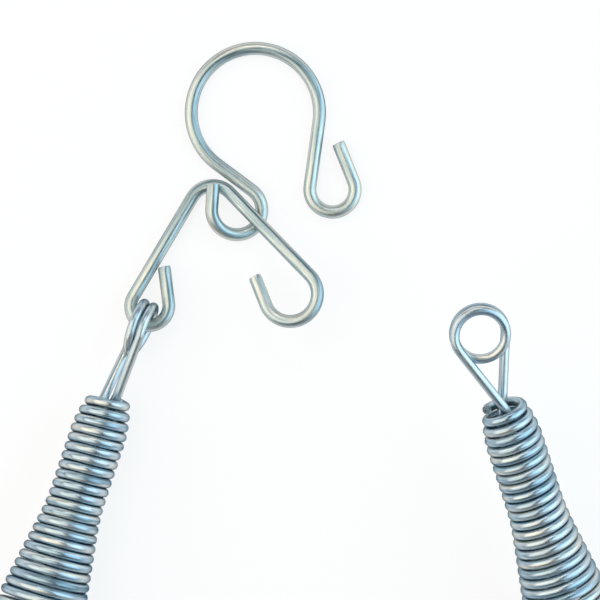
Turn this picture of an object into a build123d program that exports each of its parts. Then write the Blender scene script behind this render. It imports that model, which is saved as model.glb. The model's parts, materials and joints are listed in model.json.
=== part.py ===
from build123d import *
import os
from math import asin, ceil, cos, hypot, pi, radians, sin, sqrt, tan

os.makedirs("parts", exist_ok=True)

# A cradle spring: one long barrel-shaped extension spring, bent round so that both of its coned
# ends are side by side. A swivel eye is captive in each end. A V-shaped link hangs in one eye,
# and an omega-shaped hook hangs on the bend of the link. Millimetres and degrees, Z up, lying on
# a flat surface.

# Wire: the coil and its eyes are drawn to one gauge, the link and the hook to a thicker one
SPRING_WIRE = 3.25
HOOK_WIRE = 4.5
COIL_WIRE_SIDES = 6

# Coil: outside diameters, and where along each end they are reached, counted from the mouth. The
# mouth is just wide enough for the two legs of its eye.
NECK_OD = 20.0
BODY_OD = 38.0
DOME_LENGTH = 14.0
FLARE_START = 40.0
FLARE_ANGLE = 9.2
FLARE_EASE = 6.0
TURN_GAP = 0.09
OPEN_TURNS = 2.5
OPEN_GAP = 0.45
FIRST_CUT = -90.0

# Lie of the coil: straight ends that lean apart, joined by one round bend
MOUTH_SPAN = 136.0
END_LEAN = 18.0
STRAIGHT_END = 74.0
LEFT_DIP = 4.8
RIGHT_RISE = 15.0
LIFT_EASE = 50.0

# Swivel eyes: a ring of one and a half turns on two legs that cross in the mouth
EYE_RING = 17.6
EYE_REACH = 26.4
EYE_FOOT = 9.0
EYE_LEG_GAP = 0.9
EYE_LEG_CLEARANCE = 0.3
EYE_TURN_GAP = 0.15
LEFT_EYE_TILT = 4.5

# V link: two arms, the bend between them, the closed loop in the eye and the open hook
V_FIRST_ARM = 40.2
V_SECOND_ARM = 41.4
V_BEND_RADIUS = 8.4
V_BEND = 105.3
V_LOOP_RADIUS = 6.8
V_LOOP_TURN = 218.5
V_LOOP_TIP_GAP = 0.1
V_HOOK_RADIUS = 9.4
V_HOOK_TURN = 201.9
V_HOOK_TIP = 10.8

# Omega hook: small loop round the link, neck, big loop, and the open curl at its end
OMEGA_STUB = 8.5
OMEGA_EYE_RADIUS = 8.6
OMEGA_EYE_TURN = 236.7
OMEGA_NECK = 15.3
OMEGA_RADIUS = 22.4
OMEGA_TURN = 240.9
OMEGA_SIDE = 22.9
OMEGA_CURL_RADIUS = 7.9
OMEGA_CURL_TURN = 209.7
OMEGA_TIP = 14.3

# How the link hangs in the eye, and the hook on the link
V_HANG_TURN = 121.0
V_HANG_ANGLE = -63.4
V_HANG_PLAY = 0.7
OMEGA_HANG = 8.7
OMEGA_HANG_ANGLE = 43.0
OMEGA_STUB_ANGLE = -48.2
OMEGA_CLIMB_TURN = 150.0
CROSS_GAP = 0.25

# How finely the wires are laid out
ARCS_AT_ONCE = 8
RING_SPANS = 12
LARGEST_ARC = 45.0
SMALL_TURN = 0.01
PARALLEL = 1e-6
REST_TRIES = 30

UP = Vector(0, 0, 1)


def wire_path(points, headings):
    """A smooth path of two tangent arcs, or a straight line, from each point to the next."""
    edges = []
    for start, end, out, into in zip(points, points[1:], headings, headings[1:]):
        run = end - start
        if out.cross(run).length < PARALLEL * run.length and out.cross(into).length < PARALLEL:
            edges.append(Edge.make_line(start, end))
            continue
        both = out + into
        spread = 2 * (1 - out.dot(into))
        if spread < PARALLEL:
            reach = run.dot(run) / (2 * run.dot(both))
        else:
            along = run.dot(both)
            reach = (sqrt(along * along + spread * run.dot(run)) - along) / spread
        near, far = start + out * reach, end - into * reach
        middle = (near + far) * 0.5
        edges.append(Edge.make_tangent_arc(start, out, middle))
        edges.append(Edge.make_tangent_arc(middle, (far - near).normalized(), end))
    return Wire(edges)


def round_wire(path, diameter):
    """Round wire of the given diameter along a path."""
    return sweep(Plane(origin=path @ 0, z_dir=path % 0) * Circle(diameter / 2), path=path)


def flat_sided_wire(path, diameter, sides, arcs_at_once):
    """Wire whose flats lie just inside the round, swept a few arcs at a time and sewn into one."""
    section = (Plane(origin=path @ 0, z_dir=path % 0) * RegularPolygon(diameter / 2, sides)).face()
    skin = [section]
    edges = path.edges()
    for first in range(0, len(edges), arcs_at_once):
        span_path = Wire(edges[first : first + arcs_at_once])
        faces = Solid.sweep(section, path=span_path).faces()
        near_end = min(faces, key=lambda face: (face.center() - span_path @ 0).length)
        section = min(faces, key=lambda face: (face.center() - span_path @ 1).length)
        skin += [face for face in faces if face is not near_end and face is not section]
    return Solid(Shell(skin + [section]))


# The coil

leg_offset = (SPRING_WIRE + EYE_LEG_GAP) / 2
mouth_radius = leg_offset + SPRING_WIRE + EYE_LEG_CLEARANCE
neck_radius = (NECK_OD - SPRING_WIRE) / 2
body_radius = (BODY_OD - SPRING_WIRE) / 2
bend_radius = (MOUTH_SPAN / 2 + STRAIGHT_END * sin(radians(END_LEAN))) / cos(radians(END_LEAN))
bend_turn = radians(180 + 2 * END_LEAN)
flare_slope = tan(radians(FLARE_ANGLE))
flare_end = FLARE_START + (body_radius - neck_radius) / flare_slope
bend_end = STRAIGHT_END + bend_radius * bend_turn
coil_length = bend_end + STRAIGHT_END


def eased_ramp(distance, ease):
    """Zero up to 0 and then equal to distance, with the corner between them rounded off."""
    if distance <= -ease:
        return 0.0
    if distance >= ease:
        return distance
    return (distance + ease) ** 2 / (4 * ease)


def turn_radius(along):
    """Radius of the wire's centreline in the turn that lies this far along the coil."""
    from_mouth = min(along, coil_length - along)
    dome = (neck_radius - mouth_radius) * max(0.0, 1 - from_mouth / DOME_LENGTH) ** 2
    flare = eased_ramp(from_mouth - FLARE_START, FLARE_EASE)
    flare -= eased_ramp(from_mouth - flare_end, FLARE_EASE)
    return neck_radius - dome + flare_slope * flare


def turn_pitch(along):
    """Advance in one turn: wire against wire, measured on the inner side where the coil bends."""
    pitch = SPRING_WIRE + TURN_GAP
    from_mouth = min(along, coil_length - along)
    pitch += OPEN_GAP * max(0.0, 1 - from_mouth / (OPEN_TURNS * SPRING_WIRE))
    if STRAIGHT_END < along < bend_end:
        pitch *= bend_radius / (bend_radius - turn_radius(along))
    return pitch


def lift_at(distance, angle):
    """Height and slope of an end that leaves the level in an eased curve, this far past its start."""
    slope = tan(radians(angle))
    if distance <= 0:
        return 0.0, 0.0
    if distance < LIFT_EASE:
        return slope * distance**2 / (2 * LIFT_EASE), slope * distance / LIFT_EASE
    return slope * (distance - LIFT_EASE / 2), slope


def coil_axis(along):
    """Point on the coil's axis, with the directions along it and to its left."""
    swept = (min(max(along, STRAIGHT_END), bend_end) - STRAIGHT_END) / bend_radius
    heading = swept - bend_turn / 2
    beyond = min(along - STRAIGHT_END, 0) + max(along - bend_end, 0)
    forward = Vector(cos(heading), sin(heading), 0)
    point = Vector(sin(heading), -cos(heading), 0) * bend_radius + forward * beyond
    dip, dip_slope = lift_at(flare_end - along, -LEFT_DIP)
    rise, rise_slope = lift_at(along - bend_end + LIFT_EASE, RIGHT_RISE)
    point += UP * (BODY_OD / 2 + dip + rise)
    forward = (forward + UP * (rise_slope - dip_slope)).normalized()
    return point, forward, UP.cross(forward).normalized()


def coil_point(along, phase):
    """Point on the wire's centreline, at this phase of the turn that lies this far along."""
    point, forward, left = coil_axis(along)
    return point + (left * cos(phase) + forward.cross(left) * sin(phase)) * turn_radius(along)


def winding():
    """Place along the coil and phase of the wire: each half turn, and a last quarter at the far mouth."""
    stations = [(0.0, radians(FIRST_CUT))]
    while stations[-1][0] + turn_pitch(stations[-1][0]) / 2 < coil_length:
        along, phase = stations[-1]
        stations.append((along + turn_pitch(along) / 2, phase + pi))
    along, phase = stations[-1]
    stations.append((along + turn_pitch(along) / 4, phase + pi / 2))
    spread = coil_length / stations[-1][0]
    return [(along * spread, phase) for along, phase in stations]


def coil_spring():
    """The coil, wound from mouth to mouth."""
    points, headings = [], []
    for along, phase in winding():
        points.append(coil_point(along, phase))
        advance = turn_pitch(along) * SMALL_TURN / (2 * pi)
        before = coil_point(along - advance, phase - SMALL_TURN)
        after = coil_point(along + advance, phase + SMALL_TURN)
        headings.append((after - before).normalized())
    path = wire_path(points, headings)
    return flat_sided_wire(path, SPRING_WIRE, COIL_WIRE_SIDES, ARCS_AT_ONCE)


# The swivel eyes

ring_radius = EYE_RING / 2
ring_step = SPRING_WIRE + EYE_TURN_GAP
leg_angle = asin(ring_radius / EYE_REACH)


def swivel_eye(mouth, out, side):
    """An eye whose ring stands off a mouth along out, and spreads to either side of it."""
    across = out.cross(side)
    ring_centre = mouth + out * EYE_REACH
    ring_turn = pi + 2 * leg_angle + 2 * pi
    spread = ring_step * ring_turn / (4 * pi)
    points, headings = [], []
    for i in range(RING_SPANS + 1):
        part_way = i / RING_SPANS
        angle = pi / 2 + leg_angle - ring_turn * part_way
        offset = spread * (2 * part_way - 1)
        spoke = out * cos(angle) + side * sin(angle)
        tangent = out * sin(angle) - side * cos(angle)
        climb = 2 * spread / (ring_turn * ring_radius)
        points.append(ring_centre + spoke * ring_radius + across * offset)
        headings.append((tangent + across * climb).normalized())
    into = [
        (mouth + across * (leg_offset * hand) - end).normalized()
        for end, hand in ((points[0], -1), (points[-1], 1))
    ]
    leg = EYE_REACH * cos(leg_angle) + EYE_FOOT / cos(leg_angle)
    feet = [points[0] + into[0] * leg, points[-1] + into[1] * leg]
    # the ring's first and last headings bend into the straight legs
    headings[0] = (headings[0] - into[0]).normalized()
    headings[-1] = (headings[-1] + into[1]).normalized()
    points = [feet[0]] + points + [feet[1]]
    headings = [into[0] * -1] + headings + [into[1]]
    return round_wire(wire_path(points, headings), SPRING_WIRE)


left_mouth, left_forward, left_side = coil_axis(0)
right_mouth, right_forward, right_side = coil_axis(coil_length)
left_out = (left_forward * -1).rotate(Axis((0, 0, 0), (0, 0, 1)), -LEFT_EYE_TILT)
left_eye_side = left_out.cross(left_forward.cross(left_side)).normalized()
left_eye_up = left_eye_side.cross(left_out)


# Flat bent wire: runs and bends fed out one after another


def bent_outline(start, heading, moves):
    """Stations of flat bent wire: its length so far, the point reached and the heading there."""
    point, length = start, 0.0
    stations = [(length, point, heading)]
    for run, radius, turn in moves:
        if run:
            point = point + Vector(cos(radians(heading)), sin(radians(heading))) * run
            length += run
            stations.append((length, point, heading))
        pieces = ceil(abs(turn) / LARGEST_ARC)
        for _ in range(pieces):
            hand = 1 if turn > 0 else -1
            normal = Vector(-sin(radians(heading)), cos(radians(heading))) * hand
            centre = point + normal * radius
            heading += turn / pieces
            normal = Vector(-sin(radians(heading)), cos(radians(heading))) * hand
            point = centre - normal * radius
            length += radius * radians(abs(turn) / pieces)
            stations.append((length, point, heading))
    return stations


def heading_vector(heading):
    return Vector(cos(radians(heading)), sin(radians(heading)), 0)


# The V link, drawn flat with its hanging point at 0, 0 and the wire there running along -X

# the closed loop's end stops just short of the arm that it turns back to
v_loop_turn = radians(V_LOOP_TURN)
end_room = V_LOOP_RADIUS * (1 - cos(v_loop_turn)) - HOOK_WIRE * (1 - cos(v_loop_turn)) / 2
v_loop_end = (end_room - V_LOOP_TIP_GAP) / -sin(v_loop_turn)

v_start_heading = 180 + V_HANG_TURN
v_moves = [
    (v_loop_end, V_LOOP_RADIUS, -V_LOOP_TURN),
    (V_FIRST_ARM, V_BEND_RADIUS, -V_BEND),
    (V_SECOND_ARM, V_HOOK_RADIUS, -V_HOOK_TURN),
    (V_HOOK_TIP, 0, 0),
]
to_hanging_point = bent_outline(
    Vector(0, 0), v_start_heading, [(v_loop_end, V_LOOP_RADIUS, -V_HANG_TURN)]
)[-1][1]
v_stations = bent_outline(to_hanging_point * -1, v_start_heading, v_moves)

second_arm_heading = v_start_heading - V_LOOP_TURN - V_BEND
second_arm = heading_vector(second_arm_heading)
first_arm_end = bent_outline(to_hanging_point * -1, v_start_heading, v_moves[:1])[-1][1]
first_arm = heading_vector(v_start_heading - V_LOOP_TURN)
v_bend_start = first_arm_end + first_arm * V_FIRST_ARM
v_bend_centre = v_bend_start + heading_vector(v_start_heading - V_LOOP_TURN - 90) * V_BEND_RADIUS
second_arm_start = v_bend_centre + heading_vector(second_arm_heading + 90) * V_BEND_RADIUS
omega_eye_centre = v_bend_centre + heading_vector(second_arm_heading + OMEGA_HANG_ANGLE) * OMEGA_HANG

# where the link's second arm passes over the hook's small loop
to_eye = omega_eye_centre - second_arm_start
off_arm = second_arm.cross(to_eye).length
crossing = second_arm_start + second_arm * (to_eye.dot(second_arm) + sqrt(OMEGA_EYE_RADIUS**2 - off_arm**2))

# the link rests on its bend, on the wire of the hook's small loop, and in the ring of the eye
hang = ring_radius - (SPRING_WIRE + HOOK_WIRE) / 2 - V_HANG_PLAY
hang_way = left_out * cos(radians(V_HANG_ANGLE)) + left_eye_up * sin(radians(V_HANG_ANGLE))
hanging_point = left_mouth + left_out * EYE_REACH + hang_way * hang
bend_drop = HOOK_WIRE / 2 - hanging_point.Z
crossing_drop = HOOK_WIRE * 1.5 + CROSS_GAP - hanging_point.Z
downhill = v_bend_centre.normalized()
for _ in range(REST_TRIES):
    lowest_bend = v_bend_centre + downhill * V_BEND_RADIUS
    scale = lowest_bend.X * crossing.Y - lowest_bend.Y * crossing.X
    slope_x = (bend_drop * crossing.Y - crossing_drop * lowest_bend.Y) / scale
    slope_y = (lowest_bend.X * crossing_drop - crossing.X * bend_drop) / scale
    downhill = Vector(-slope_x, -slope_y).normalized()

level_y = Vector(left_out.X, left_out.Y, 0).normalized()
level_x = level_y.cross(UP)
tilt = asin(hypot(slope_x, slope_y))
tilt_axis = Axis((0, 0, 0), level_x * slope_y - level_y * slope_x)
v_x = level_x.rotate(tilt_axis, tilt * 180 / pi)
v_y = level_y.rotate(tilt_axis, tilt * 180 / pi)


def on_link(flat):
    """The place of a point of the flat outline on the tilted link."""
    return hanging_point + v_x * flat.X + v_y * flat.Y


def v_link():
    points = [on_link(point) for _, point, _ in v_stations]
    headings = [v_x * heading_vector(h).X + v_y * heading_vector(h).Y for _, _, h in v_stations]
    return round_wire(wire_path(points, headings), HOOK_WIRE)


# The omega hook lies flat, and the end of its small loop climbs over the link

arm_plan = v_x * second_arm.X + v_y * second_arm.Y
arm_plan_heading = Vector(1, 0, 0).get_signed_angle(Vector(arm_plan.X, arm_plan.Y, 0), UP)
omega_heading = arm_plan_heading + OMEGA_STUB_ANGLE
omega_centre = on_link(omega_eye_centre)
omega_start = (
    Vector(omega_centre.X, omega_centre.Y)
    + heading_vector(omega_heading - 90) * OMEGA_EYE_RADIUS
    - heading_vector(omega_heading) * OMEGA_STUB
)
omega_moves = [
    (OMEGA_STUB, OMEGA_EYE_RADIUS, OMEGA_EYE_TURN),
    (OMEGA_NECK, OMEGA_RADIUS, -OMEGA_TURN),
    (OMEGA_SIDE, OMEGA_CURL_RADIUS, OMEGA_CURL_TURN),
    (OMEGA_TIP, 0, 0),
]
link_normal = v_x.cross(v_y)


def link_height(plan_point):
    """Height of the link's middle plane over a point of the plan."""
    away = plan_point - hanging_point
    return hanging_point.Z - (link_normal.X * away.X + link_normal.Y * away.Y) / link_normal.Z


stub_height = link_height(omega_start) + HOOK_WIRE / cos(tilt) + CROSS_GAP
climb_to = OMEGA_STUB + OMEGA_EYE_RADIUS * radians(OMEGA_CLIMB_TURN)


def omega_height(length):
    """Height of the hook's wire, this far from the end of its small loop, and its slope."""
    flat = HOOK_WIRE / 2
    part_way = min(max((length - OMEGA_STUB) / (climb_to - OMEGA_STUB), 0), 1)
    height = stub_height + (flat - stub_height) * part_way**2 * (3 - 2 * part_way)
    slope = (flat - stub_height) * 6 * part_way * (1 - part_way) / (climb_to - OMEGA_STUB)
    return height, slope


def omega_hook():
    points, headings = [], []
    for length, point, heading in bent_outline(omega_start, omega_heading, omega_moves):
        height, slope = omega_height(length)
        points.append(Vector(point.X, point.Y, height))
        headings.append((heading_vector(heading) + UP * slope).normalized())
    return round_wire(wire_path(points, headings), HOOK_WIRE)


pieces = {
    "coil_spring": coil_spring(),
    "hook_side_eye": swivel_eye(left_mouth, left_out, left_eye_up),
    "bare_eye": swivel_eye(right_mouth, right_forward, right_side * -1),
    "v_link": v_link(),
    "omega_hook": omega_hook(),
}

# The origin is in the middle of the whole, on the surface that it lies on
box = Compound(children=[Compound(piece.solids()) for piece in pieces.values()]).bounding_box()
to_origin = Vector(-box.center().X, -box.center().Y, -box.min.Z)
for name, piece in pieces.items():
    export_step(Pos(to_origin) * piece, f"parts/{name}.step")
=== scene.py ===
import json
from math import asin, ceil, cos, degrees, pi, radians, sin, tan

import bpy
from mathutils import Matrix, Vector


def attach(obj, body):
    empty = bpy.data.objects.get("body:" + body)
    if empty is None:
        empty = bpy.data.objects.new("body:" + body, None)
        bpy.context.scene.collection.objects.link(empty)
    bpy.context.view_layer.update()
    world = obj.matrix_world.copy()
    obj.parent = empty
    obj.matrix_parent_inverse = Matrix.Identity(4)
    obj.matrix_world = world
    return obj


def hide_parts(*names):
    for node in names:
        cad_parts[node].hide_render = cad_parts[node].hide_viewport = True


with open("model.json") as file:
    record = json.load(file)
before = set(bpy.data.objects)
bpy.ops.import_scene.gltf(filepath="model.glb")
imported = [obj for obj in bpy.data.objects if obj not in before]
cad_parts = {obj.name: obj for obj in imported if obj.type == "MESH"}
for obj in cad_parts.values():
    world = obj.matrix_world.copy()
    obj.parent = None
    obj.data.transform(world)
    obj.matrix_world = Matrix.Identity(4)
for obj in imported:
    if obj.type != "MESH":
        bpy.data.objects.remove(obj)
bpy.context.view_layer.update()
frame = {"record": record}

# A cradle spring: a close-wound coil bent into a horseshoe, a swivel eye in each coned end, and a
# V link and an omega hook on one of them. Sizes are in millimetres and degrees, as drawn on the
# bench, and become metres where a mesh is made.

MILLIMETRE = 0.001
UP = Vector((0, 0, 1))

# Wire
SPRING_WIRE = 3.25
HOOK_WIRE = 4.5

# Coil: outside diameters, where along each end they are reached, and the gaps between its turns,
# which are wider over the first few at each mouth. The wire starts underneath the left mouth.
NECK_OD = 20.0
BODY_OD = 38.0
DOME_LENGTH = 14.0
FLARE_START = 40.0
FLARE_ANGLE = 9.2
FLARE_EASE = 6.0
TURN_GAP = 0.09
OPEN_TURNS = 2.5
OPEN_GAP = 0.45
FIRST_CUT = -90.0

# Lie of the coil: how far apart its mouths are, how its ends lean out, and how they leave the level
MOUTH_SPAN = 136.0
END_LEAN = 18.0
STRAIGHT_END = 74.0
LEFT_DIP = 4.8
RIGHT_RISE = 15.0
LIFT_EASE = 50.0

# Swivel eyes: a ring, on legs that cross in the mouth and end a foot's length inside. The left one
# is turned a little in its mouth, clear of the link that hangs in it.
EYE_RING = 17.6
EYE_REACH = 26.4
EYE_FOOT = 9.0
EYE_LEG_GAP = 0.9
EYE_LEG_CLEARANCE = 0.3
EYE_TURN_GAP = 0.15
LEFT_EYE_SWIVEL = -8.0

# V link, from the end of its closed loop to the tip of its hook. It hangs by a point of the loop,
# as far round as the hanging turn says.
V_FIRST_ARM = 40.2
V_SECOND_ARM = 41.4
V_BEND_RADIUS = 8.4
V_BEND = 105.3
V_LOOP_RADIUS = 6.8
V_LOOP_TURN = 218.5
V_LOOP_TIP_GAP = 0.1
V_HOOK_RADIUS = 9.4
V_HOOK_TURN = 201.9
V_HOOK_TIP = 10.8
V_HANG_TURN = 121.0

# Omega hook, from the end of its small loop to the tip of its curl. The loop hangs at a distance
# from the middle of the link's bend, at an angle from the link's second arm, and its end climbs over
# the link.
OMEGA_STUB = 8.5
OMEGA_EYE_RADIUS = 8.6
OMEGA_EYE_TURN = 236.7
OMEGA_NECK = 15.3
OMEGA_RADIUS = 22.4
OMEGA_TURN = 240.9
OMEGA_SIDE = 22.9
OMEGA_CURL_RADIUS = 7.9
OMEGA_CURL_TURN = 209.7
OMEGA_TIP = 14.3
OMEGA_HANG = 8.7
OMEGA_HANG_ANGLE = 43.0
OMEGA_STUB_ANGLE = -48.2
OMEGA_CLIMB_TURN = 150.0
CROSS_GAP = 0.25

# How finely the wires are drawn
COIL_STEPS_PER_HALF_TURN = 18
COIL_SIDES = 12
EYE_SIDES = 28
HOOK_SIDES = 32
PATH_STEP = 0.8

# Sheared ends of the wire: a slanted cut with a slightly pinched rim. Points within the cut's
# reach of the very end are slanted, and edges over the sharp angle aren't shaded smooth.
CUT_SLANT = 5.0
CUT_REACH = 0.01
PINCH_LENGTH = 0.9
PINCHED_SIZE = 0.93
SHARP_EDGE = 45.0


def metres(point):
    return Vector(point) * MILLIMETRE


# Frame: joints and mounts give the places that the pieces hang from

joints = {joint["name"]: joint for joint in frame["record"]["behaviour"]["joints"]}
mounts = {mount["name"]: mount for mount in frame["record"]["mounts"]}


def joint_place(name):
    """The point of a joint in millimetres, and its axis."""
    joint = joints[name]
    return Vector(joint["pos_m"]) / MILLIMETRE, Vector(joint["axis"]).normalized()


left_mouth, left_out = joint_place("hook_side_eye_swivel")
right_mouth, right_out = joint_place("bare_eye_swivel")
hanging_point, link_x = joint_place("link_swing")
link_normal = Vector(mounts["link_hook"]["axis"]).normalized()
link_y = link_normal.cross(link_x)


# The coil's rule

leg_offset = (SPRING_WIRE + EYE_LEG_GAP) / 2
mouth_radius = leg_offset + SPRING_WIRE + EYE_LEG_CLEARANCE
neck_radius = (NECK_OD - SPRING_WIRE) / 2
body_radius = (BODY_OD - SPRING_WIRE) / 2
bend_radius = (MOUTH_SPAN / 2 + STRAIGHT_END * sin(radians(END_LEAN))) / cos(radians(END_LEAN))
bend_turn = radians(180 + 2 * END_LEAN)
bend_end = STRAIGHT_END + bend_radius * bend_turn
coil_length = bend_end + STRAIGHT_END
flare_slope = tan(radians(FLARE_ANGLE))
flare_end = FLARE_START + (body_radius - neck_radius) / flare_slope


def eased_ramp(distance, ease):
    """Zero up to 0 and then equal to distance, with the corner between them rounded off."""
    if distance <= -ease:
        return 0.0
    if distance >= ease:
        return distance
    return (distance + ease) ** 2 / (4 * ease)


def turn_radius(along):
    """Radius of the wire's centreline in the turn that lies this far along the coil."""
    from_mouth = min(along, coil_length - along)
    dome = (neck_radius - mouth_radius) * max(0.0, 1 - from_mouth / DOME_LENGTH) ** 2
    flare = eased_ramp(from_mouth - FLARE_START, FLARE_EASE)
    flare -= eased_ramp(from_mouth - flare_end, FLARE_EASE)
    return neck_radius - dome + flare_slope * flare


def turn_pitch(along):
    """Advance in one turn: wire against wire, measured on the inner side where the coil bends."""
    pitch = SPRING_WIRE + TURN_GAP
    from_mouth = min(along, coil_length - along)
    pitch += OPEN_GAP * max(0.0, 1 - from_mouth / (OPEN_TURNS * SPRING_WIRE))
    if STRAIGHT_END < along < bend_end:
        pitch *= bend_radius / (bend_radius - turn_radius(along))
    return pitch


def lift_at(distance, angle):
    """Height and slope of an end that leaves the level in an eased curve."""
    slope = tan(radians(angle))
    if distance <= 0:
        return 0.0, 0.0
    if distance < LIFT_EASE:
        return slope * distance**2 / (2 * LIFT_EASE), slope * distance / LIFT_EASE
    return slope * (distance - LIFT_EASE / 2), slope


def coil_axis(along):
    """Point on the coil's axis, about the centre of its bend, with the directions there."""
    swept = (min(max(along, STRAIGHT_END), bend_end) - STRAIGHT_END) / bend_radius
    heading = swept - bend_turn / 2
    beyond = min(along - STRAIGHT_END, 0) + max(along - bend_end, 0)
    forward = Vector((cos(heading), sin(heading), 0))
    point = Vector((sin(heading), -cos(heading), 0)) * bend_radius + forward * beyond
    dip, dip_slope = lift_at(flare_end - along, -LEFT_DIP)
    rise, rise_slope = lift_at(along - bend_end + LIFT_EASE, RIGHT_RISE)
    point += UP * (BODY_OD / 2 + dip + rise)
    forward = (forward + UP * (rise_slope - dip_slope)).normalized()
    return point, forward, UP.cross(forward).normalized()


to_frame = left_mouth - coil_axis(0)[0]


def winding():
    """Place and phase of the wire at each half turn, and at a last quarter turn."""
    stations = [(0.0, radians(FIRST_CUT))]
    while stations[-1][0] + turn_pitch(stations[-1][0]) / 2 < coil_length:
        along, phase = stations[-1]
        stations.append((along + turn_pitch(along) / 2, phase + pi))
    along, phase = stations[-1]
    stations.append((along + turn_pitch(along) / 4, phase + pi / 2))
    spread = coil_length / stations[-1][0]
    return [(along * spread, phase) for along, phase in stations]


def coil_point(along, phase):
    """Point on the wire's centreline, at this phase of the turn that lies this far along."""
    point, forward, left = coil_axis(along)
    spoke = left * cos(phase) + forward.cross(left) * sin(phase)
    return point + spoke * turn_radius(along) + to_frame


def coil_path():
    """Centreline of the coil's wire, wound from mouth to mouth."""
    points = []
    stations = winding()
    for (start, phase), (end, next_phase) in zip(stations, stations[1:]):
        for step in range(COIL_STEPS_PER_HALF_TURN):
            part_way = step / COIL_STEPS_PER_HALF_TURN
            along = start + (end - start) * part_way
            points.append(coil_point(along, phase + (next_phase - phase) * part_way))
    return points + [coil_point(*stations[-1])]


# The swivel eyes

def line_of(start, end):
    """Evenly spaced points from start up to end."""
    steps = ceil((end - start).length / PATH_STEP)
    return [start.lerp(end, step / steps) for step in range(steps + 1)]


def eye_path(mouth, out, side):
    """Centreline of an eye: a leg, a ring of one and a half turns, and the second leg.

    Out points out of the mouth, the ring lies along out and side, and winds on across them.
    """
    across = side.cross(out)
    ring_centre = mouth + out * EYE_REACH
    ring_radius = EYE_RING / 2
    leg_angle = asin(ring_radius / EYE_REACH)
    ring_turn = 3 * pi + 2 * leg_angle
    spread = (SPRING_WIRE + EYE_TURN_GAP) * ring_turn / (4 * pi)
    steps = ceil(ring_turn * ring_radius / PATH_STEP)
    ring = []
    for step in range(steps + 1):
        part_way = step / steps
        angle = pi / 2 + leg_angle - ring_turn * part_way
        spoke = out * cos(angle) + side * sin(angle)
        ring.append(ring_centre + spoke * ring_radius + across * spread * (2 * part_way - 1))
    leg = EYE_REACH * cos(leg_angle) + EYE_FOOT / cos(leg_angle)
    first_way = (mouth - across * leg_offset - ring[0]).normalized()
    last_way = (mouth + across * leg_offset - ring[-1]).normalized()
    first_leg = line_of(ring[0] + first_way * leg, ring[0])[:-1]
    last_leg = line_of(ring[-1], ring[-1] + last_way * leg)[1:]
    return first_leg + ring + last_leg


# The bent wires: runs and bends fed out one after another

def heading_vector(heading):
    return Vector((cos(radians(heading)), sin(radians(heading)), 0))


def bent_path(start, heading, moves):
    """Points of flat bent wire, each with its length so far, for moves of run, radius and turn."""
    points = [(0.0, start)]
    for run, radius, turn in moves:
        length, point = points[-1]
        if run:
            way = heading_vector(heading) * run
            steps = ceil(run / PATH_STEP)
            for step in range(1, steps + 1):
                points.append((length + run * step / steps, point + way * step / steps))
            length, point = points[-1]
        if turn:
            hand = 1 if turn > 0 else -1
            centre = point + heading_vector(heading + 90 * hand) * radius
            bend_length = radius * radians(abs(turn))
            steps = ceil(bend_length / PATH_STEP)
            for step in range(1, steps + 1):
                turned = heading + turn * step / steps
                on_bend = centre - heading_vector(turned + 90 * hand) * radius
                points.append((length + bend_length * step / steps, on_bend))
            heading += turn
    return points


# the closed loop's end stops just short of the arm that it turns back to
v_loop_turn = radians(V_LOOP_TURN)
end_room = V_LOOP_RADIUS * (1 - cos(v_loop_turn)) - HOOK_WIRE * (1 - cos(v_loop_turn)) / 2
v_loop_end = (end_room - V_LOOP_TIP_GAP) / -sin(v_loop_turn)

# the link's flat outline, about the point that it hangs from
v_start_heading = 180 + V_HANG_TURN
v_moves = [
    (v_loop_end, V_LOOP_RADIUS, -V_LOOP_TURN),
    (V_FIRST_ARM, V_BEND_RADIUS, -V_BEND),
    (V_SECOND_ARM, V_HOOK_RADIUS, -V_HOOK_TURN),
    (V_HOOK_TIP, 0, 0),
]
up_to_hanging = [(v_loop_end, V_LOOP_RADIUS, -V_HANG_TURN)]
v_start = bent_path(Vector((0, 0, 0)), v_start_heading, up_to_hanging)[-1][1] * -1
first_arm_heading = v_start_heading - V_LOOP_TURN
second_arm_heading = first_arm_heading - V_BEND
v_bend_start = bent_path(v_start, v_start_heading, [v_moves[0], (V_FIRST_ARM, 0, 0)])[-1][1]
v_bend_centre = v_bend_start + heading_vector(first_arm_heading - 90) * V_BEND_RADIUS
to_omega_eye = heading_vector(second_arm_heading + OMEGA_HANG_ANGLE) * OMEGA_HANG
omega_eye_centre = v_bend_centre + to_omega_eye


def on_link(flat):
    """The place of a point of the flat outline on the tilted link."""
    return hanging_point + link_x * flat.x + link_y * flat.y


def link_path():
    return [on_link(point) for _, point in bent_path(v_start, v_start_heading, v_moves)]


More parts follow.
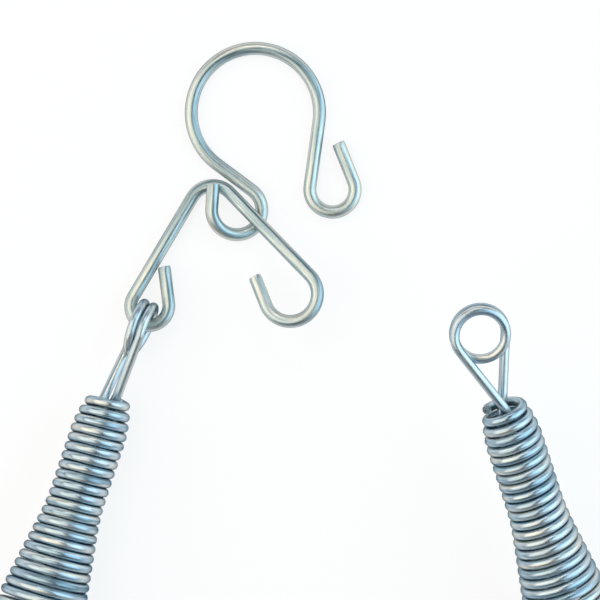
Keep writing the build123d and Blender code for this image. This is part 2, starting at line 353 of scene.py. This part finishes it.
def hook_path():
    """Centreline of the omega hook: flat, with the end of its small loop climbing over the link."""
    second_arm = heading_vector(second_arm_heading)
    arm = link_x * second_arm.x + link_y * second_arm.y
    heading = degrees(arm.to_2d().angle_signed(Vector((1, 0)))) + OMEGA_STUB_ANGLE
    centre = on_link(omega_eye_centre)
    start = (
        Vector((centre.x, centre.y, 0))
        + heading_vector(heading - 90) * OMEGA_EYE_RADIUS
        - heading_vector(heading) * OMEGA_STUB
    )
    moves = [
        (OMEGA_STUB, OMEGA_EYE_RADIUS, OMEGA_EYE_TURN),
        (OMEGA_NECK, OMEGA_RADIUS, -OMEGA_TURN),
        (OMEGA_SIDE, OMEGA_CURL_RADIUS, OMEGA_CURL_TURN),
        (OMEGA_TIP, 0, 0),
    ]
    flat = HOOK_WIRE / 2 + to_frame.z
    away = start - hanging_point
    fall = (link_normal.x * away.x + link_normal.y * away.y) / link_normal.z
    link_height = hanging_point.z - fall
    stub_height = link_height + HOOK_WIRE / link_normal.z + CROSS_GAP
    climb_length = OMEGA_EYE_RADIUS * radians(OMEGA_CLIMB_TURN)
    points = []
    for length, point in bent_path(start, heading, moves):
        part_way = min(max((length - OMEGA_STUB) / climb_length, 0), 1)
        height = stub_height + (flat - stub_height) * part_way**2 * (3 - 2 * part_way)
        points.append(Vector((point.x, point.y, height)))
    return points


# Nodes

def add(tree, kind, inputs=None, captures=(), stops=(), **settings):
    """Adds one node with its settings, and fills or links its inputs by name or number.

    Captures are the kinds of value that the node keeps on a geometry, and stops are the places
    and hex colours on its ramp.
    """
    node = tree.nodes.new(kind)
    for name, value in settings.items():
        setattr(node, name, value)
    for data_type in captures:
        node.capture_items.new(data_type, "Value")
    if stops:
        ramp = node.color_ramp.elements
        ramp.remove(ramp[1])
        for number, (position, colour) in enumerate(stops):
            stop = ramp.new(position) if number else ramp[0]
            stop.position = position
            stop.color = linear(colour)
    for key, value in (inputs or {}).items():
        if isinstance(value, bpy.types.NodeSocket):
            tree.links.new(value, node.inputs[key])
        else:
            node.inputs[key].default_value = value
    return node


def linear(hex_colour):
    """An sRGB hex colour as linear red, green, blue and alpha."""
    values = [int(hex_colour[i : i + 2], 16) / 255 for i in (1, 3, 5)]
    levels = [v / 12.92 if v <= 0.04045 else ((v + 0.055) / 1.055) ** 2.4 for v in values]
    return (*levels, 1.0)


def drawn_wire_tree():
    """Round wire along a line of points, with sheared ends and its place on the straight wire."""
    tree = bpy.data.node_groups.new("drawn_wire", "GeometryNodeTree")
    inputs = {
        "Centreline": "Geometry",
        "Diameter": "Float",
        "Sides": "Int",
        "Cut slant": "Float",
        "Cut reach": "Float",
        "Pinch length": "Float",
        "Pinched size": "Float",
        "Sharp edge": "Float",
        "Finish": "Material",
    }
    for name, kind in inputs.items():
        tree.interface.new_socket(name, in_out="INPUT", socket_type="NodeSocket" + kind)
    tree.interface.new_socket("Wire", in_out="OUTPUT", socket_type="NodeSocketGeometry")
    given = add(tree, "NodeGroupInput").outputs

    line = add(tree, "GeometryNodeMeshToCurve", {"Mesh": given["Centreline"]}).outputs[0]
    length = add(tree, "GeometryNodeSplineParameter").outputs["Length"]
    whole = add(tree, "GeometryNodeSplineLength").outputs["Length"]
    way = add(tree, "GeometryNodeInputTangent").outputs[0]
    to_end = add(tree, "ShaderNodeMath", {0: whole, 1: length}, operation="SUBTRACT").outputs[0]
    nearest = add(tree, "ShaderNodeMath", {0: length, 1: to_end}, operation="MINIMUM").outputs[0]
    line, length, nearest, way = add(
        tree,
        "GeometryNodeCaptureAttribute",
        {0: line, 1: length, 2: nearest, 3: way},
        captures=("FLOAT", "FLOAT", "VECTOR"),
    ).outputs[0:4]

    size = add(
        tree,
        "ShaderNodeMapRange",
        {"Value": nearest, "From Max": given["Pinch length"], "To Min": given["Pinched size"]},
        interpolation_type="SMOOTHERSTEP",
    ).outputs[0]
    half = add(tree, "ShaderNodeMath", {0: given["Diameter"], 1: 0.5}, operation="MULTIPLY")
    ring = add(
        tree,
        "GeometryNodeCurvePrimitiveCircle",
        {"Resolution": given["Sides"], "Radius": half.outputs[0]},
    ).outputs["Curve"]
    position = add(tree, "GeometryNodeInputPosition").outputs[0]
    ring, on_section = add(
        tree, "GeometryNodeCaptureAttribute", {0: ring, 1: position}, captures=("VECTOR",)
    ).outputs[0:2]
    wire = add(
        tree,
        "GeometryNodeCurveToMesh",
        {"Curve": line, "Profile Curve": ring, "Scale": size, "Fill Caps": True},
    ).outputs[0]

    section = add(tree, "ShaderNodeSeparateXYZ", {0: on_section}).outputs
    rake = add(tree, "ShaderNodeMath", {0: given["Cut slant"]}, operation="TANGENT").outputs[0]
    slant = add(tree, "ShaderNodeMath", {0: section[0], 1: rake}, operation="MULTIPLY").outputs[0]
    shift = add(tree, "ShaderNodeVectorMath", {0: way, "Scale": slant}, operation="SCALE")
    at_cut = add(
        tree,
        "FunctionNodeCompare",
        {0: nearest, 1: given["Cut reach"]},
        data_type="FLOAT",
        operation="LESS_THAN",
    ).outputs[0]
    wire = add(
        tree,
        "GeometryNodeSetPosition",
        {"Geometry": wire, "Selection": at_cut, "Offset": shift.outputs[0]},
    ).outputs[0]

    straight = add(tree, "ShaderNodeCombineXYZ", {0: section[0], 1: section[1], 2: length})
    wire = add(
        tree,
        "GeometryNodeStoreNamedAttribute",
        {"Geometry": wire, "Name": "straight_wire", "Value": straight.outputs[0]},
        data_type="FLOAT_VECTOR",
    ).outputs[0]
    wire = add(tree, "GeometryNodeSetShadeSmooth", {"Geometry": wire}).outputs[0]
    angle = add(tree, "GeometryNodeInputMeshEdgeAngle").outputs["Unsigned Angle"]
    sharp = add(
        tree,
        "FunctionNodeCompare",
        {0: angle, 1: given["Sharp edge"]},
        data_type="FLOAT",
        operation="GREATER_THAN",
    ).outputs[0]
    wire = add(
        tree,
        "GeometryNodeSetShadeSmooth",
        {"Geometry": wire, "Selection": sharp, "Shade Smooth": False},
        domain="EDGE",
    ).outputs[0]
    wire = add(tree, "GeometryNodeRealizeInstances", {"Geometry": wire}).outputs[0]
    wire = add(tree, "GeometryNodeSetMaterial", {"Geometry": wire, "Material": given["Finish"]})
    add(tree, "NodeGroupOutput", {"Wire": wire.outputs[0]})
    return tree


def socket_of(tree, name):
    """The identifier of a tree's input, which a modifier is set by."""
    return next(item.identifier for item in tree.interface.items_tree if item.name == name)


def drawn_wire(name, path, diameter, sides, finish):
    """A piece of wire along a path of points in millimetres, as a plain mesh."""
    tree = bpy.data.node_groups.get("drawn_wire") or drawn_wire_tree()
    mesh = bpy.data.meshes.new(name + "_centreline")
    edges = [(i, i + 1) for i in range(len(path) - 1)]
    mesh.from_pydata([metres(point) for point in path], edges, [])
    line = bpy.data.objects.new(name + "_centreline", mesh)
    bpy.context.collection.objects.link(line)
    modifier = line.modifiers.new("wire", "NODES")
    modifier.node_group = tree
    sizes = {
        "Diameter": diameter * MILLIMETRE,
        "Sides": sides,
        "Cut slant": radians(CUT_SLANT),
        "Cut reach": CUT_REACH * MILLIMETRE,
        "Pinch length": PINCH_LENGTH * MILLIMETRE,
        "Pinched size": PINCHED_SIZE,
        "Sharp edge": radians(SHARP_EDGE),
        "Finish": finish,
    }
    for size, value in sizes.items():
        modifier[socket_of(tree, size)] = value
    evaluated = line.evaluated_get(bpy.context.evaluated_depsgraph_get())
    wire_mesh = bpy.data.meshes.new_from_object(evaluated)
    line.modifiers.remove(modifier)
    bpy.data.objects.remove(line)
    wire = bpy.data.objects.new(name, wire_mesh)
    bpy.context.collection.objects.link(wire)
    return wire


# Finishes: grains across and along the straight wire, in millimetres. Real drawing lines are finer
# than these, and are drawn as coarse as they need to be to show. The edge tint is what the plate
# reflects at a grazing angle.

STREAK_WIDTH = 1.3
STREAK_DETAIL = 3.0
DRAWING_LINE = (0.16, 14.0)
CLOUD = (2.2, 3.5)
FINE_DETAIL = 4.0
CLOUD_RANGE = (0.3, 0.7)
EDGE_TINT = "#70777C"


def grained_noise(tree, place, across, along, detail):
    """Noise whose grains are this wide and this long on the straight wire."""
    grain = [1 / (size * MILLIMETRE) for size in (across, across, along)]
    scaled = add(tree, "ShaderNodeMapping", {"Vector": place, "Scale": grain}).outputs[0]
    noise = add(tree, "ShaderNodeTexNoise", {"Vector": scaled, "Scale": 1.0, "Detail": detail})
    return noise.outputs["Fac"]


def zinc_plated_wire(name, colours, streak_length, roughness, line_depth):
    """Bright zinc plate over drawn steel wire, passivated blue.

    Drawing leaves fine lines along the wire, the plate lies in faint streaks of blue, silver and
    pale yellow, and handling dulls it in clouds.
    """
    material = bpy.data.materials.new(name)
    material.use_nodes = True
    tree = material.node_tree
    shader = tree.nodes["Principled BSDF"]
    place = add(tree, "ShaderNodeAttribute", attribute_name="straight_wire").outputs["Vector"]
    streaks = grained_noise(tree, place, STREAK_WIDTH, streak_length, STREAK_DETAIL)
    lines = grained_noise(tree, place, *DRAWING_LINE, FINE_DETAIL)
    clouds = grained_noise(tree, place, *CLOUD, FINE_DETAIL)
    plate = add(tree, "ShaderNodeValToRGB", {"Fac": streaks}, stops=colours)
    tree.links.new(plate.outputs["Color"], shader.inputs["Base Color"])
    shader.inputs["Metallic"].default_value = 1.0
    shader.inputs["Specular Tint"].default_value = linear(EDGE_TINT)
    dulled = add(
        tree,
        "ShaderNodeMapRange",
        {
            "Value": clouds,
            "From Min": CLOUD_RANGE[0],
            "From Max": CLOUD_RANGE[1],
            "To Min": roughness[0],
            "To Max": roughness[1],
        },
    )
    tree.links.new(dulled.outputs[0], shader.inputs["Roughness"])
    drawn = add(
        tree,
        "ShaderNodeBump",
        {"Height": lines, "Strength": 1.0, "Distance": line_depth * MILLIMETRE},
    )
    tree.links.new(drawn.outputs[0], shader.inputs["Normal"])
    return material


spring_finish = zinc_plated_wire(
    "bright_zinc_plated_spring_wire",
    [(0.30, "#8098A4"), (0.42, "#AFC7D5"), (0.54, "#CCD9E0"), (0.68, "#E6E2D6")],
    streak_length=40.0,
    roughness=(0.25, 0.38),
    line_depth=0.006,
)
hook_finish = zinc_plated_wire(
    "bright_zinc_plated_hook_wire",
    [(0.31, "#677F87"), (0.42, "#ADC0C5"), (0.53, "#CED7D5"), (0.68, "#E8E6DA")],
    streak_length=30.0,
    roughness=(0.30, 0.44),
    line_depth=0.010,
)


# Pieces. The eyes are wound so that the bare one's left leg and the other's right leg lie in
# front, as in the photograph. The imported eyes, which they stand for, are wound the other way.

left_forward, left_side = coil_axis(0)[1:]
left_up = left_forward.cross(left_side)
left_level = left_out.cross(left_up).normalized()
left_swivel = radians(LEFT_EYE_SWIVEL)
left_ring_side = left_level.cross(left_out) * cos(left_swivel) + left_level * sin(left_swivel)
right_ring_side = coil_axis(coil_length)[2] * -1
left_eye_path = eye_path(left_mouth, left_out, left_ring_side)
bare_eye_path = eye_path(right_mouth, right_out, right_ring_side)

spring_stock = ("spring_wire", SPRING_WIRE, spring_finish)
hook_stock = ("hook_wire", HOOK_WIRE, hook_finish)
wires = {
    "coil_wire": ("coil_spring", "coil", coil_path(), COIL_SIDES, spring_stock),
    "hook_side_eye_wire": (
        "hook_side_eye", "hook_side_swivel", left_eye_path, EYE_SIDES, spring_stock
    ),
    "bare_eye_wire": ("bare_eye", "bare_swivel", bare_eye_path, EYE_SIDES, spring_stock),
    "link_wire": ("v_link", "link", link_path(), HOOK_SIDES, hook_stock),
    "hook_wire": ("omega_hook", "hook", hook_path(), HOOK_SIDES, hook_stock),
}
for name, (node, body, path, sides, (slot, diameter, finish)) in wires.items():
    wire = drawn_wire(name, path, diameter, sides, finish)
    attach(wire, body)
    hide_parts(node)


# Floor, light and camera. A warm white softbox stands on the left and a pale blue one on the right,
# so that round wire shows a bright band on each side and a dark line between them, under the gap
# overhead. A small third one lights the far side, and the walls darken towards the ceiling. The
# floor's own glow keeps it white, and the share of it that doesn't glow takes the shadow. Places and
# sizes are in millimetres, and each softbox has its power in watts after them.

FLOOR_SIZE = 6000.0
FLOOR_COLOUR = "#F4F4F4"
FLOOR_ROUGHNESS = 0.9
FLOOR_GLOW = 1.08
FLOOR_GLOW_SHARE = 0.75
ROOM_COLOURS = [(0.0, "#B2B6BA"), (0.45, "#888C90"), (0.80, "#40454C")]
LIT_POINT = (0, 60, 20)
SOFTBOXES = {
    "left_softbox": ((-560, 80, 740), (1370, 1300), 7.4, "#FFF9EA"),
    "right_softbox": ((770, 100, 540), (1180, 1300), 7.8, "#C4E7F8"),
    "far_softbox": ((0, 720, 600), (500, 300), 0.9, "#FFFFFF"),
}
CAMERA_PLACE = (48.2, 120.5, 1500.0)
CAMERA_AIM = (-1.7, 79.8, 20.0)
CAMERA_ROLL = 0.2
CAMERA_LENS = 257.5


def floor():
    """A sheet of white paper that stays white to the eye and in metal, and keeps a faint shadow."""
    half = FLOOR_SIZE / 2
    corners = [metres((x * half, y * half, 0)) for x, y in ((-1, -1), (1, -1), (1, 1), (-1, 1))]
    mesh = bpy.data.meshes.new("floor")
    mesh.from_pydata(corners, [], [(0, 1, 2, 3)])
    sheet = bpy.data.objects.new("floor", mesh)
    bpy.context.collection.objects.link(sheet)
    material = bpy.data.materials.new("white_paper")
    material.use_nodes = True
    tree = material.node_tree
    paper = tree.nodes["Principled BSDF"]
    paper.inputs["Base Color"].default_value = linear(FLOOR_COLOUR)
    paper.inputs["Roughness"].default_value = FLOOR_ROUGHNESS
    rays = add(tree, "ShaderNodeLightPath").outputs
    seen = rays["Is Camera Ray"]
    for ray in ("Is Glossy Ray", "Is Transmission Ray"):
        seen = add(tree, "ShaderNodeMath", {0: seen, 1: rays[ray]}, operation="MAXIMUM").outputs[0]
    share = add(tree, "ShaderNodeMath", {0: seen, 1: FLOOR_GLOW_SHARE}, operation="MULTIPLY")
    glow = add(tree, "ShaderNodeEmission", {"Color": linear("#FFFFFF"), "Strength": FLOOR_GLOW})
    mixed = add(
        tree,
        "ShaderNodeMixShader",
        {0: share.outputs[0], 1: paper.outputs[0], 2: glow.outputs[0]},
    )
    tree.links.new(mixed.outputs[0], tree.nodes["Material Output"].inputs["Surface"])
    mesh.materials.append(material)


def aimed(holder, place, aim, roll=0.0):
    """Puts a lamp or camera at a place, facing a point, with its right side near +X."""
    back = (Vector(place) - Vector(aim)).normalized()
    up = back.cross(heading_vector(roll)).normalized()
    holder.location = metres(place)
    holder.rotation_euler = Matrix((up.cross(back), up, back)).transposed().to_euler()
    bpy.context.collection.objects.link(holder)


def softbox(name, place, size, power, colour):
    light = bpy.data.lights.new(name, "AREA")
    light.shape = "RECTANGLE"
    light.size, light.size_y = (side * MILLIMETRE for side in size)
    light.energy = power
    light.color = linear(colour)[:3]
    aimed(bpy.data.objects.new(name, light), place, LIT_POINT)


def room():
    """Pale walls that darken towards the ceiling."""
    world = bpy.data.worlds.new("room")
    world.use_nodes = True
    tree = world.node_tree
    direction = add(tree, "ShaderNodeTexCoord").outputs["Generated"]
    height = add(tree, "ShaderNodeSeparateXYZ", {0: direction}).outputs["Z"]
    wall = add(tree, "ShaderNodeValToRGB", {"Fac": height}, stops=ROOM_COLOURS)
    tree.links.new(wall.outputs["Color"], tree.nodes["Background"].inputs["Color"])
    bpy.context.scene.world = world


def camera():
    """Almost straight above, far enough off that the raised end is hardly larger than the other."""
    lens = bpy.data.cameras.new("camera")
    lens.lens = CAMERA_LENS
    holder = bpy.data.objects.new("camera", lens)
    aimed(holder, CAMERA_PLACE, CAMERA_AIM, CAMERA_ROLL)
    bpy.context.scene.camera = holder


floor()
room()
for name, (place, size, power, colour) in SOFTBOXES.items():
    softbox(name, place, size, power, colour)
camera()
bpy.context.scene.view_settings.view_transform = "Standard"
